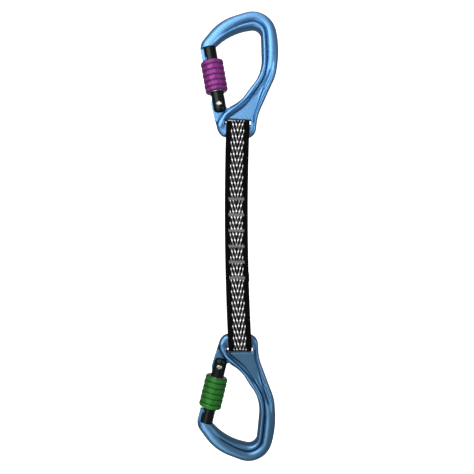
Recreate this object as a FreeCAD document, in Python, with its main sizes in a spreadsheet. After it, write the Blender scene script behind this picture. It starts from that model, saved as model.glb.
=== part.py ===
import FreeCAD, Part
import math
import os

import Sketcher
from FreeCAD import Placement, Rotation, Vector

# Climbing quickdraw: two alike screw-lock carabiners with a captive webbing eye, joined by one
# sewn tape sling.  Millimetres, +Z up, front towards -Y.  The origin is the inner top of the
# upper carabiner's basket, where it hangs on a bolt hanger.
#
# Each carabiner is drawn in its own frame: origin on the centre of the eye bar, +X towards the
# spine, +Z towards the basket.  Gate pieces are drawn in the gate's frame: origin on the hinge
# rivet, +Z along the gate towards the nose, +X into the carabiner.

doc = FreeCAD.newDocument("quickdraw")

# ---------------------------------------------------------------- driving dimensions

# Outlines are corners joined by straight runs: name, across, up, corner radius.  A radius of 0
# is a plain corner.

# The forged frame, clockwise from the outer end of the nose's face.
OUTLINE = [
    ("nose_outside", -33.0, 61.5, 0.0),
    ("nose", -32.8, 66.7, 10.0),
    ("brow", -19.3, 85.1, 39.0),
    ("crown", 19.8, 99.4, 19.0),
    ("shoulder", 28.6, 67.2, 73.0),
    ("elbow", 27.2, 45.3, 35.0),
    ("waist", 14.8, 13.3, 41.0),
    ("right_heel", 13.9, -4.5, 7.8),
    ("left_heel", -14.3, -6.7, 9.8),
    ("hinge_outside", -17.0, 4.0, 0.0),
    ("hinge_inside", -7.0, 18.3, 0.0),
    ("floor", 1.0, 22.9, 33.0),
    ("spine", 16.1, 46.5, 31.0),
    ("basket", 12.8, 80.9, 6.5),
    ("roof", -9.0, 76.0, 42.0),
    ("nose_inside", -21.3, 64.3, 0.0),
]

# The inner bead leaves the window's edge at the hinge and runs into the eye's left wall.
BEAD_TAIL = [
    ("bead_bend", -12.2, 12.4, 10.0),
    ("bead_end", -16.4, 2.0, 0.0),
]

# The flat web below the spine, recessed between the bead and the outer ridge.
WEB = [
    ("web_top", 22.6, 50.0, 1.2),
    ("web_outer", 11.7, 12.4, 1.2),
    ("web_outer_low", 11.6, 6.0, 0.8),
    ("web_inner_low", -9.4, 6.0, 0.8),
    ("web_inner", -7.0, 12.2, 1.2),
    ("web_middle", 9.8, 32.0, 14.0),
]

# The thin tab that the gate's fork straddles.
TAB = [
    ("tab_foot_left", -17.2, 4.0, 0.0),
    ("tab_left", -23.5, 24.8, 6.0),
    ("tab_right", -12.3, 27.5, 1.0),
    ("tab_root", -9.9, 17.4, 0.5),
    ("tab_foot_right", -4.0, 17.0, 0.0),
    ("tab_foot", -8.0, 8.0, 0.0),
]

# The thin tongue of the nose that the gate's end closes over.
TONGUE = [
    ("tongue_tip", -30.6, 51.9, 1.0),
    ("tongue_outside", -32.9, 61.8, 0.0),
    ("tongue_above", -30.0, 67.0, 0.0),
    ("tongue_top", -24.0, 67.0, 0.0),
    ("tongue_root", -24.6, 62.6, 0.0),
    ("tongue_inside", -22.4, 54.0, 0.8),
]

SIZES = {
    # the frame's thicknesses, front to back
    "frame_thickness": 8.4,
    "frame_rounding": 2.6,
    "web_thickness": 5.0,
    "tab_thickness": 4.4,
    "tongue_thickness": 3.5,
    "bead_width": 5.2,
    "bead_thickness": 10.0,
    "bead_inset": 2.5,
    "bead_rounding": 2.4,
    # the eye for the tape: a round bar with a clear ring around it
    "slot_width": 20.4,
    "bar_radius": 5.4,
    "slot_reach": 8.9,
    # keylock head on the tongue, in the gate's frame
    "head_low": 34.9,
    "head_tall": 2.6,
    "head_left": -4.4,
    "head_right": 1.6,
    "head_thickness": 6.4,
    # hinge
    "rivet_across": -15.7,
    "rivet_up": 19.5,
    "gate_lean": 13.3,
    "rivet_diameter": 3.0,
    "rivet_play": 0.1,
    "rivet_head_diameter": 4.4,
    "rivet_head_reach": 5.55,
    "rivet_shoulder": 4.85,
    # gate
    "gate_length": 44.5,
    "gate_overhang": 6.5,
    "gate_diameter": 10.9,
    "gate_nose_diameter": 10.2,
    "gate_step": 35.0,
    "gate_end_rounding": 3.0,
    "gate_nose_rounding": 0.7,
    "fork_gap": 5.0,
    "fork_depth": 8.3,
    "nose_slot_gap": 4.1,
    "nose_slot_floor": 33.4,
    "nose_slot_back": 2.6,
    "head_slot_gap": 7.2,
    "head_slot_top": 37.8,
    "bore_diameter": 3.5,
    "bore_top": 27.0,
    # locking sleeve
    "sleeve_length": 23.7,
    "sleeve_start": 9.9,
    "sleeve_diameter": 17.7,
    "sleeve_bore": 11.06,
    "sleeve_chamfer": 1.2,
    "sleeve_nose_chamfer": 0.7,
    "nose_counterbore": 15.2,
    "nose_counterbore_depth": 9.5,
    "ring_seat_depth": 0.5,
    "ring_outer": 13.4,
    "ring_inner": 11.2,
    "ring_height": 0.9,
    "ring_play": 0.05,
    "grip_grooves": 5.0,
    "grip_pitch": 4.2,
    "grip_groove_width": 1.5,
    "grip_groove_depth": 0.55,
    "grip_first": 3.45,
    # closing spring and its plunger, in the gate's bore
    "plunger_diameter": 3.3,
    "plunger_length": 5.0,
    "plunger_tip": 7.15,
    "plunger_dome": 1.4,
    "spring_diameter": 3.0,
    "spring_wire": 0.45,
    "spring_pitch": 1.25,
    "spring_length": 12.5,
    # where the two carabiners sit
    "top_eye_x": -10.75,
    "top_eye_z": -78.9,
    "top_tilt": 3.5,
    "bottom_eye_x": -9.1,
    "bottom_eye_z": -242.35,
    "bottom_tilt": 0.2,
    "bottom_sleeve_shift": -1.3,
    # sewn sling
    "tape_width": 18.0,
    "tape_thickness": 2.2,
    "fold_radius": 6.1,
    "sling_top_x": -10.4,
    "sling_middle_x": -11.75,
    "sling_bottom_x": -8.6,
    "sling_overrun": 10.0,
    "sewn_top": -129.5,
    "sewn_bottom": -196.5,
    "tack_first": -132.2,
    "tack_spacing": 12.2,
    "tack_width": 12.0,
    "tack_tall": 2.3,
    "tack_proud": 0.45,
}
TACKS = 6


def add_sheet():
    """Put every driving dimension in the sheet, one aliased cell each, and return the sheet."""
    cells = dict(SIZES)
    for name, across, up, radius in OUTLINE + BEAD_TAIL + WEB + TAB + TONGUE:
        cells[name + "_x"] = across
        cells[name + "_z"] = up
        cells[name + "_r"] = radius
    page = doc.addObject("Spreadsheet::Sheet", "sizes")
    for row, (alias, value) in enumerate(cells.items(), start=1):
        page.set("A%d" % row, alias)
        page.set("B%d" % row, str(value))
        page.setAlias("B%d" % row, alias)
    doc.recompute()
    return page


sizes = add_sheet()


def size(alias):
    """The value of one cell of the sheet."""
    return float(sizes.get(alias))


# ---------------------------------------------------------------- helpers for bodies


def new_body(label, placement):
    """An empty PartDesign body with its label, which names its file, and its placement."""
    body = doc.addObject("PartDesign::Body", label)
    body.Label = label
    body.Placement = placement
    return body


def new_sketch(body, name, plane="XZ_Plane", offset=None):
    """A sketch on one of the body's own origin planes, moved within that plane by offset."""
    origin_plane = next(o for o in body.Origin.OriginFeatures if o.Role == plane)
    sketch = body.newObject("Sketcher::SketchObject", name)
    sketch.AttachmentSupport = [(origin_plane, "")]
    sketch.MapMode = "FlatFace"
    if offset:
        sketch.AttachmentOffset = offset
    return sketch


def in_gate_frame():
    """The gate's frame, as an offset within the carabiner's XZ plane."""
    return Placement(
        Vector(size("rivet_across"), size("rivet_up"), 0),
        Rotation(Vector(0, 0, 1), size("gate_lean")),
    )


class Drawing:
    """Collects a sketch's geometry and constraints, then adds them in one go."""

    def __init__(self, sketch):
        self.sketch = sketch
        self.geometry = []
        self.rules = []
        self.bindings = []

    def add(self, shape, helper=False):
        """Add one line, arc or point, and return its index."""
        self.geometry.append((shape, helper))
        return len(self.geometry) - 1

    def value(self, expression):
        """The present value of an expression of the sheet's cells."""
        return float(self.sketch.evalExpression(expression))

    def rule(self, *terms):
        """Add a constraint without a value of the sheet."""
        self.rules.append(Sketcher.Constraint(*terms))

    def bound(self, expression, *terms):
        """Add a constraint whose value is bound to an expression of the sheet's cells."""
        self.bindings.append((len(self.rules), expression))
        self.rules.append(Sketcher.Constraint(*terms))

    def hold(self, item, end, point, x_expression, z_expression):
        """Hold one end of an item at a place given by two expressions."""
        self.bound(x_expression, "DistanceX", item, end, point.x)
        self.bound(z_expression, "DistanceY", item, end, point.y)

    def finish(self):
        """Write everything into the sketch."""
        for shape, helper in self.geometry:
            self.sketch.addGeometry(shape, helper)
        self.sketch.addConstraint(self.rules)
        for index, expression in self.bindings:
            self.sketch.setExpression("Constraints[%d]" % index, expression)


def cell(alias):
    """The expression of one cell."""
    return "sizes." + alias


def corners_of(outline):
    """An outline's corners as expressions of their cells: across, up, radius."""
    return [tuple(cell(corner[0] + end) for end in ("_x", "_z", "_r")) for corner in outline]


def draw_chain(drawing, corners, closed=True):
    """Draw straight runs joined by tangent arcs through corners.

    A corner is three expressions: across, up and radius.  A rounded corner is a construction
    point held at its place; the runs on both sides pass through it, and an arc of the corner's
    radius is tangent to both.
    """
    points = [Vector(drawing.value(x), drawing.value(z), 0) for x, z, _ in corners]
    radii = [drawing.value(r) for _, _, r in corners]
    count = len(corners)
    rounded = [i for i in range(count) if radii[i] and (closed or 0 < i < count - 1)]
    leave, arrive, arcs, marks = {}, {}, {}, {}
    for i in rounded:
        here, radius = points[i], radii[i]
        to_before = (points[i - 1] - here).normalize()
        to_after = (points[(i + 1) % count] - here).normalize()
        half = to_before.getAngle(to_after) / 2
        inward = (to_before + to_after).normalize()
        middle = here + inward * (radius / math.sin(half) - radius)
        arrive[i] = here + to_before * (radius / math.tan(half))
        leave[i] = here + to_after * (radius / math.tan(half))
        arcs[i] = drawing.add(Part.Arc(arrive[i], middle, leave[i]))
        marks[i] = drawing.add(Part.Point(here), True)
        drawing.hold(marks[i], 1, here, *corners[i][:2])
        drawing.bound(corners[i][2], "Radius", arcs[i], radius)
    lines = {}
    for i in range(count if closed else count - 1):
        after = (i + 1) % count
        start, finish = leave.get(i, points[i]), arrive.get(after, points[after])
        lines[i] = drawing.add(Part.LineSegment(start, finish))
    for i, line in lines.items():
        for corner, line_end in ((i, 1), ((i + 1) % count, 2)):
            if corner in arcs:
                # an arc is kept anticlockwise, so one that turns clockwise starts at its far end
                here = points[corner]
                before, behind = points[corner - 1] - here, points[(corner + 1) % count] - here
                clockwise = before.cross(behind).z > 0
                arc_end = 1 if clockwise == (line_end == 1) else 2
                drawing.rule("Tangent", line, line_end, arcs[corner], arc_end)
                drawing.rule("PointOnObject", marks[corner], 1, line)
            elif line_end == 1 or corner not in lines:
                drawing.hold(line, line_end, points[corner], *corners[corner][:2])
            else:
                drawing.rule("Coincident", line, 2, lines[corner], 1)


def draw_polygon(drawing, corners):
    """Draw a closed polygon whose corners are pairs of expressions."""
    draw_chain(drawing, [(x, z, "0") for x, z in corners])


def draw_rectangle(drawing, left, low, right, high):
    """Draw a rectangle between four expressions."""
    draw_polygon(drawing, [(left, low), (right, low), (right, high), (left, high)])


def draw_circle(drawing, x, z, radius):
    """Draw a circle whose centre and radius are expressions."""
    centre = Vector(drawing.value(x), drawing.value(z), 0)
    circle = drawing.add(Part.Circle(centre, Vector(0, 0, 1), drawing.value(radius)))
    drawing.hold(circle, 3, centre, x, z)
    drawing.bound(radius, "Radius", circle, drawing.value(radius))


def sketch_with(body, name, draw, *terms, plane="XZ_Plane", offset=None):
    """A finished sketch holding one drawing."""
    drawing = Drawing(new_sketch(body, name, plane, offset))
    draw(drawing, *terms)
    drawing.finish()
    return drawing.sketch


def add_feature(body, kind, name, profile, **settings):
    """Add a sketch-based feature, set its properties and recompute the document.

    A setting given as text is bound as an expression.
    """
    feature = body.newObject("PartDesign::" + kind, name)
    feature.Profile = profile
    for key, value in settings.items():
        if isinstance(value, str):
            feature.setExpression(key, value)
        else:
            setattr(feature, key, value)
    profile.Visibility = False
    doc.recompute()
    return feature


def add_cut(body, kind, name, profile, **settings):
    """Add a feature that removes material, and turn it round if it points away from the solid."""
    before = body.Tip.Shape.Volume
    feature = add_feature(body, kind, name, profile, **settings)
    if before - feature.Shape.Volume < 1e-3:
        feature.Reversed = not feature.Reversed
        doc.recompute()
    if before - feature.Shape.Volume < 1e-3:
        raise RuntimeError(name + " removes nothing")
    return feature


def add_fillet(body, name, edges, radius):
    """Round the named edges of the body's last feature by an expression's radius."""
    base = body.Tip
    fillet = body.newObject("PartDesign::Fillet", name)
    fillet.Base = (base, edges)
    fillet.setExpression("Radius", radius)
    doc.recompute()
    return fillet


def edges_where(shape, test):
    """Names of the shape's edges that pass the test."""
    return ["Edge%d" % (i + 1) for i, edge in enumerate(shape.Edges) if test(edge)]


THROUGH_ALL = 1


def cut_faces(body, name, keep, draw, *terms):
    """Cut a region from the front and the back face, leaving keep between them."""
    for side, label in ((1, "front"), (-1, "back")):
        offset = Placement(Vector(0, 0, side * size(keep) / 2), Rotation())
        sketch = sketch_with(body, name + "_outline_" + label, draw, *terms, offset=offset)
        add_cut(body, "Pocket", name + "_" + label, sketch, Type=THROUGH_ALL, Reversed=side > 0)


# ---------------------------------------------------------------- places


def carabiner_place(which):
    """Where a carabiner's frame lies: the lower one hangs turned over about X."""
    eye = Vector(size(which + "_eye_x"), 0, size(which + "_eye_z"))
    tilt = Rotation(Vector(0, 1, 0), size(which + "_tilt"))
    over = Rotation(Vector(1, 0, 0), 180 if which == "bottom" else 0)
    return Placement(eye, tilt.multiply(over))


def gate_place(which):
    """Where a gate's frame lies."""
    hinge = Placement(
        Vector(size("rivet_across"), 0, size("rivet_up")),
        Rotation(Vector(0, 1, 0), -size("gate_lean")),
    )
    return carabiner_place(which).multiply(hinge)


def sleeve_place(which):
    """Where a sleeve's frame lies: the gate's frame, shifted along the gate."""
    shift = size("bottom_sleeve_shift") if which == "bottom" else 0.0
    return gate_place(which).multiply(Placement(Vector(0, 0, shift), Rotation()))


# ---------------------------------------------------------------- carabiner pieces


def across_path(first, second):
    """An upright plane at the first corner, square to the run to the second, as an offset."""
    start, end = (Vector(size(n + "_x"), size(n + "_z"), 0) for n in (first, second))
    along = (end - start).normalize()
    up = Vector(0, 0, 1)
    return Placement(start, Rotation(up.cross(along), up, along, "XYZ"))


def add_bead(body):
    """The inner bead, a rounded section carried along the window's edge into the eye's wall."""
    by_name = {corner[0]: corner for corner in OUTLINE}
    window = [by_name[n] for n in ("nose_inside", "roof", "basket", "spine", "floor")]
    path = sketch_with(body, "bead_path", draw_chain, corners_of(window + BEAD_TAIL), False)
    inner, outer = ("sizes.bead_inset %s sizes.bead_width / 2" % sign for sign in "-+")
    corners = [(inner, "-"), (outer, "-"), (outer, ""), (inner, "")]
    section = sketch_with(
        body,
        "bead_section",
        draw_chain,
        [(x, sign + "sizes.bead_thickness / 2", "sizes.bead_rounding") for x, sign in corners],
        offset=across_path("nose_inside", "roof"),
    )
    spine = (path, ["Edge%d" % (i + 1) for i in range(len(path.Shape.Edges))])
    add_feature(body, "AdditivePipe", "bead", section, Spine=spine)
    path.Visibility = False


def build_frame(which):
    """The forged frame: rounded plate, recessed web, inner bead, eye, hinge tab and nose."""
    body = new_body(which + "_carabiner_frame", carabiner_place(which))
    plate = sketch_with(body, "outline", draw_chain, corners_of(OUTLINE))
    add_feature(body, "Pad", "plate", plate, Midplane=True, Length="sizes.frame_thickness")
    half = size("frame_thickness") / 2

    def is_long_run(edge):
        """Long runs of the outline on both faces; the rounding follows them all the way."""
        box = edge.BoundBox
        return box.YLength < 1e-6 and abs(abs(box.YMin) - half) < 1e-6 and edge.Length > 20

    add_fillet(
        body, "forged_edges", edges_where(body.Tip.Shape, is_long_run), "sizes.frame_rounding"
    )
    cut_faces(body, "web", "web_thickness", draw_chain, corners_of(WEB))
    add_bead(body)
    for name, outline in (("tab", TAB), ("tongue", TONGUE)):
        sketch = sketch_with(body, name + "_outline", draw_chain, corners_of(outline))
        add_feature(body, "Pad", name, sketch, Midplane=True, Length=cell(name + "_thickness"))
    head = sketch_with(
        body,
        "head_outline",
        draw_rectangle,
        "sizes.head_left",
        "sizes.head_low",
        "sizes.head_right",
        "sizes.head_low + sizes.head_tall",
        offset=in_gate_frame(),
    )
    add_feature(body, "Pad", "keylock_head", head, Midplane=True, Length="sizes.head_thickness")
    hole_radius = "sizes.rivet_diameter / 2 + sizes.rivet_play"
    hole = sketch_with(
        body, "rivet_hole_outline", draw_circle, "0", "0", hole_radius, offset=in_gate_frame()
    )
    add_cut(body, "Pocket", "rivet_hole", hole, Type=THROUGH_ALL, Midplane=True)
    half_slot = "sizes.slot_width / 2"
    ring = sketch_with(
        body,
        "eye_outline",
        draw_rectangle,
        "-" + half_slot,
        "sizes.bar_radius",
        half_slot,
        "sizes.slot_reach",
    )
    add_cut(body, "Groove", "eye", ring, ReferenceAxis=(ring, ["H_Axis"]), Angle=360.0)
    return body


def turn(body, name, profile):
    """A solid of revolution about the body's Z axis, from its radius-height corners."""
    sketch = sketch_with(body, name + "_profile", draw_polygon, profile)
    return add_feature(
        body, "Revolution", name, sketch, ReferenceAxis=(sketch, ["V_Axis"]), Angle=360.0
    )


def build_gate(which):
    """The gate: a stepped round bar with a fork, a spring bore and a keylock slot."""
    body = new_body(which + "_gate", gate_place(which))
    thick, thin = "sizes.gate_diameter / 2", "sizes.gate_nose_diameter / 2"
    turn(
        body,
        "bar",
        [
            ("0", "-sizes.gate_overhang"),
            (thick, "-sizes.gate_overhang"),
            (thick, "sizes.gate_step"),
            (thin, "sizes.gate_step + %s - %s" % (thick, thin)),
            (thin, "sizes.gate_length"),
            ("0", "sizes.gate_length"),
        ],
    )

    def ends_at(height):
        """A test for the round edge at one end of the bar."""
        return lambda edge: edge.BoundBox.ZLength < 1e-6 and abs(edge.BoundBox.ZMin - height) < 1e-6

    for name, height, radius in (
        ("hinge_end", -size("gate_overhang"), "sizes.gate_end_rounding"),
        ("nose_end", size("gate_length"), "sizes.gate_nose_rounding"),
    ):
        add_fillet(body, name, edges_where(body.Tip.Shape, ends_at(height)), radius)
    fork = sketch_with(
        body,
        "fork_outline",
        draw_rectangle,
        "-sizes.fork_gap / 2",
        "-sizes.gate_overhang - 1",
        "sizes.fork_gap / 2",
        "sizes.fork_depth",
        plane="YZ_Plane",
    )
    add_cut(body, "Pocket", "fork", fork, Type=THROUGH_ALL, Midplane=True)
    neck, head = "sizes.nose_slot_gap / 2", "sizes.head_slot_gap / 2"
    above = "sizes.gate_length + 1"
    keylock = sketch_with(
        body,
        "keylock_outline",
        draw_polygon,
        [
            ("-" + head, "sizes.nose_slot_floor"),
            (head, "sizes.nose_slot_floor"),
            (head, "sizes.head_slot_top"),
            (neck, "sizes.head_slot_top"),
            (neck, above),
            ("-" + neck, above),
            ("-" + neck, "sizes.head_slot_top"),
            ("-" + head, "sizes.head_slot_top"),
        ],
        plane="YZ_Plane",
        offset=Placement(Vector(0, 0, size("nose_slot_back")), Rotation()),
    )
    add_cut(body, "Pocket", "keylock", keylock, Type=THROUGH_ALL)
    pin = sketch_with(body, "pin_outline", draw_circle, "0", "0", "sizes.rivet_diameter / 2")
    add_cut(body, "Pocket", "pin_hole", pin, Type=THROUGH_ALL, Midplane=True)
    bore = sketch_with(
        body,
        "bore_outline",
        draw_circle,
        "0",
        "0",
        "sizes.bore_diameter / 2",
        plane="XY_Plane",
        offset=Placement(Vector(0, 0, size("bore_top")), Rotation()),
    )
    add_cut(body, "Pocket", "bore", bore, Length="sizes.bore_top - sizes.fork_depth + 1")
    return body


def build_sleeve(which):
    """The locking sleeve: bored to run on the gate, counterbored for the nose, with grip grooves."""
    body = new_body(which + "_locking_sleeve", sleeve_place(which))
    low, high = "sizes.sleeve_start", "(sizes.sleeve_start + sizes.sleeve_length)"
    outside, bore = "sizes.sleeve_diameter / 2", "sizes.sleeve_bore / 2"
    nose, seat = "sizes.nose_counterbore / 2", "(sizes.ring_outer / 2 + sizes.ring_play)"
    bevel = "sizes.sleeve_chamfer"
    turn(
        body,
        "tube",
        [
            (seat, low),
            (outside + " - " + bevel, low),
            (outside, low + " + " + bevel),
            (outside, high + " - sizes.sleeve_nose_chamfer"),
            (outside + " - sizes.sleeve_nose_chamfer", high),
            (nose, high),
            (nose, high + " - sizes.nose_counterbore_depth"),
            (bore, high + " - sizes.nose_counterbore_depth"),
            (bore, low + " + sizes.ring_seat_depth"),
            (seat, low + " + sizes.ring_seat_depth"),
        ],
    )
    middle = low + " + sizes.grip_first"
    groove = sketch_with(
        body,
        "grip_outline",
        draw_polygon,
        [
            (outside + " + 0.2", middle + " - sizes.grip_groove_width / 2"),
            (outside + " + 0.2", middle + " + sizes.grip_groove_width / 2"),
            (outside + " - sizes.grip_groove_depth", middle),
        ],
    )
    first = add_cut(
        body, "Groove", "grip_groove", groove, ReferenceAxis=(groove, ["V_Axis"]), Angle=360.0
    )
    pattern = body.newObject("PartDesign::LinearPattern", "grip_grooves")
    pattern.Originals = [first]
    pattern.Direction = (groove, ["V_Axis"])
    pattern.setExpression("Occurrences", "sizes.grip_grooves")
    pattern.setExpression("Length", "sizes.grip_pitch * (sizes.grip_grooves - 1)")
    body.Tip = pattern
    doc.recompute()
    return body


def build_ring(which):
    """The plain ring seated in the sleeve's hinge end."""
    body = new_body(which + "_sleeve_ring", sleeve_place(which))
    low = "sizes.sleeve_start + sizes.ring_seat_depth - sizes.ring_height - sizes.ring_play"
    inside, outside = "sizes.ring_inner / 2", "sizes.ring_outer / 2"
    high = low + " + sizes.ring_height"
    turn(body, "ring", [(inside, low), (outside, low), (outside, high), (inside, high)])
    return body


def build_rivet(which):
    """The hinge rivet, pressed into the gate's fork, with a low head flush in each cheek."""
    upright = Placement(Vector(), Rotation(Vector(1, 0, 0), -90))
    body = new_body(which + "_hinge_rivet", gate_place(which).multiply(upright))
    shank, head = "sizes.rivet_diameter / 2", "sizes.rivet_head_diameter / 2"
    reach, under = "sizes.rivet_head_reach", "sizes.rivet_shoulder"
    turn(
        body,
        "rivet",
        [
            ("0", "-" + reach),
            (shank + " - 0.3", "-" + reach),
            (head, "-" + under + " - 0.15"),
            (head, "-" + under),
            (shank, "-" + under),
            (shank, under),
            (head, under),
            (head, under + " + 0.15"),
            (shank + " - 0.3", reach),
            ("0", reach),
        ],
    )
    return body


def build_plunger(which):
    """The plunger that the spring presses on the hinge tab's flat top, with a domed tip."""
    body = new_body(which + "_spring_plunger", gate_place(which))
    radius = "sizes.plunger_diameter / 2"
    tip, top = "sizes.plunger_tip", "(sizes.plunger_tip + sizes.plunger_length)"
    turn(body, "pin", [("0", tip), (radius, tip), (radius, top), ("0", top)])

    def is_tip(edge):
        """The round edge at the tip."""
        return edge.BoundBox.ZLength < 1e-6 and abs(edge.BoundBox.ZMin - size("plunger_tip")) < 1e-6

    add_fillet(body, "dome", edges_where(body.Tip.Shape, is_tip), "sizes.plunger_dome")
    return body


def build_spring(which):
    """The closing spring, coiled above the plunger in the gate's bore."""
    body = new_body(which + "_gate_spring", gate_place(which))
    start = "sizes.plunger_tip + sizes.plunger_length + sizes.spring_wire"
    wire = sketch_with(
        body,
        "wire",
        draw_circle,
        "(sizes.spring_diameter - sizes.spring_wire) / 2",
        start,
        "sizes.spring_wire / 2",
    )
    add_feature(
        body,
        "AdditiveHelix",
        "coils",
        wire,
        ReferenceAxis=(wire, ["V_Axis"]),
        Mode=0,
        Pitch="sizes.spring_pitch",
        Height="sizes.spring_length",
    )
    return body


# ---------------------------------------------------------------- sling pieces


def tangent_point(centre, radius, point, side):
    """Where a line from an outside point touches a circle, on the given side of the centre."""
    away = point - centre
    swing = math.acos(radius / away.Length)
    heading = math.atan2(away.y, away.x) + side * swing
    return centre + Vector(math.cos(heading), math.sin(heading), 0) * radius


def draw_fold(drawing, eye, radius, left_foot, right_foot):
    """Draw a fold round an eye's bar: an arc with a straight leg down to each of two feet.

    A foot is two expressions.  Returns the two legs' indices, left then right.
    """
    centre = Vector(0, drawing.value(eye), 0)
    feet = [Vector(drawing.value(x), drawing.value(z), 0) for x, z in (left_foot, right_foot)]
    upward = 1 if feet[0].y < centre.y else -1
    size_now = drawing.value(radius)
    touch = [
        tangent_point(centre, size_now, foot, side * upward) for foot, side in zip(feet, (-1, 1))
    ]
    crest = centre + Vector(0, upward * size_now, 0)
    arc = drawing.add(Part.Arc(touch[0], crest, touch[1]))
    drawing.hold(arc, 3, centre, "0", eye)
    drawing.bound(radius, "Radius", arc, size_now)
    legs = []
    for i, foot in enumerate((left_foot, right_foot)):
        leg = drawing.add(Part.LineSegment(touch[i], feet[i]))
        # an arc is kept anticlockwise, so over the top it starts at the right-hand leg
        arc_end = 1 if (i == 1) == (upward > 0) else 2
        drawing.rule("Tangent", leg, 1, arc, arc_end)
        drawing.hold(leg, 2, feet[i], *foot)
        legs.append(leg)
    return legs


def join(drawing, first, second):
    """Draw a line between the free feet of two legs."""
    ends = [drawing.geometry[leg][0].EndPoint for leg in (first, second)]
    line = drawing.add(Part.LineSegment(*ends))
    drawing.rule("Coincident", line, 1, first, 2)
    drawing.rule("Coincident", line, 2, second, 2)
    return line


def draw_sling_side(drawing):
    """The sling seen from the side: three layers where it is sewn, a loop round each bar.

    The front layer runs unbroken from bar to bar.  The tape's inner end is the middle layer,
    which becomes the upper loop's back leg; its outer end is the back layer, which becomes the
    lower loop's.
    """
    layer = "sizes.tape_thickness"
    front, back = "-1.5 * " + layer, "1.5 * " + layer
    inner, outer = "-0.5 * " + layer, "0.5 * " + layer
    top, bottom = "sizes.sewn_top", "sizes.sewn_bottom"
    outside, inside = "sizes.fold_radius + " + layer, "sizes.fold_radius"
    upper = draw_fold(drawing, "sizes.top_eye_z", outside, (front, top), (outer, top))
    lower = draw_fold(drawing, "sizes.bottom_eye_z", outside, (front, bottom), (back, bottom))
    join(drawing, upper[0], lower[0])
    step_foot = Vector(drawing.value(back), drawing.value(top), 0)
    lap = drawing.add(Part.LineSegment(drawing.geometry[upper[1]][0].EndPoint, step_foot))
    back_run = drawing.add(
        Part.LineSegment(step_foot, drawing.geometry[lower[1]][0].EndPoint)
    )
    drawing.rule("Coincident", lap, 1, upper[1], 2)
    drawing.hold(lap, 2, step_foot, back, top)
    drawing.rule("Coincident", lap, 2, back_run, 1)
    drawing.rule("Coincident", back_run, 2, lower[1], 2)
    draw_fold(drawing, "sizes.top_eye_z", inside, (inner, top), (inner, top))
    hole = draw_fold(drawing, "sizes.bottom_eye_z", inside, (inner, bottom), (outer, bottom))
    join(drawing, hole[0], hole[1])


def draw_bowed_band(drawing):
    """A frame with the sling's bowed front outline left open in it."""
    over = "sizes.sling_overrun"
    top, bottom = "sizes.top_eye_z + " + over, "sizes.bottom_eye_z - " + over
    middle = "(sizes.top_eye_z + sizes.bottom_eye_z) / 2"
    half = "sizes.tape_width / 2"
    wide = "sizes.tape_width"
    sides = []
    for sign in "-+":
        places = [
            ("sizes.sling_%s_x %s %s" % (where, sign, half), z)
            for where, z in (("top", top), ("middle", middle), ("bottom", bottom))
        ]
        points = [Vector(drawing.value(x), drawing.value(z), 0) for x, z in places]
        arc = drawing.add(Part.Arc(*points))
        mark = drawing.add(Part.Point(points[1]), True)
        drawing.hold(mark, 1, points[1], *places[1])
        drawing.rule("PointOnObject", mark, 1, arc)
        # the centre lies to the right, so an anticlockwise arc starts at its upper end
        drawing.hold(arc, 1, points[0], *places[0])
        drawing.hold(arc, 2, points[2], *places[2])
        sides.append((arc, points))
    for end, place in ((1, 0), (2, 2)):
        line = drawing.add(Part.LineSegment(sides[0][1][place], sides[1][1][place]))
        drawing.rule("Coincident", line, 1, sides[0][0], end)
        drawing.rule("Coincident", line, 2, sides[1][0], end)
    draw_rectangle(
        drawing,
        "-3 * " + wide,
        bottom + " - 1",
        "3 * " + wide,
        top + " + 1",
    )


def build_tape():
    """The sewn tape sling, one closed solid, padded from its side view and cut to its bow."""
    body = new_body("sling_tape", Placement())
    side = sketch_with(body, "side_view", draw_sling_side, plane="YZ_Plane")
    add_feature(body, "Pad", "layers", side, Midplane=True, Length="4 * sizes.tape_width")
    band = sketch_with(body, "front_view", draw_bowed_band)
    add_cut(body, "Pocket", "bow", band, Type=THROUGH_ALL, Midplane=True)
    return body


def sling_centre(height):
    """How far across the sling's centre line is at a height, on the arc of its three marks."""
    over = size("sling_overrun")
    marks = [
        Vector(size("sling_top_x"), 0, size("top_eye_z") + over),
        Vector(size("sling_middle_x"), 0, (size("top_eye_z") + size("bottom_eye_z")) / 2),
        Vector(size("sling_bottom_x"), 0, size("bottom_eye_z") - over),
    ]
    circle = Part.Circle(*marks)
    rise = height - circle.Center.z
    return circle.Center.x - math.sqrt(circle.Radius**2 - rise**2)


def build_tack(number):
    """One bar tack: a block of dense zigzag stitching right through the layers."""
    height = size("tack_first") - (number - 1) * size("tack_spacing")
    place = Placement(Vector(sling_centre(height), 0, height), Rotation())
    body = new_body("bar_tack_%d" % number, place)
    outline = sketch_with(
        body,
        "outline",
        draw_rectangle,
        "-sizes.tack_width / 2",
        "-sizes.tack_tall / 2",
        "sizes.tack_width / 2",
        "sizes.tack_tall / 2",
    )
    through = "3 * sizes.tape_thickness + 2 * sizes.tack_proud"
    add_feature(body, "Pad", "stitches", outline, Midplane=True, Length=through)
    return body


# ---------------------------------------------------------------- the whole quickdraw


def check(body):
    """Stop if any feature of a sub-part failed, or its shape is not one sound solid."""
    for item in body.Group + [body]:
        if {"Invalid", "Error"} & set(item.State):
            raise RuntimeError("%s: %s is %s" % (body.Label, item.Name, item.State))
    if body.Shape.isNull() or not body.Shape.isValid() or len(body.Shape.Solids) != 1:
        raise RuntimeError(body.Label + " is not one valid solid")


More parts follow.
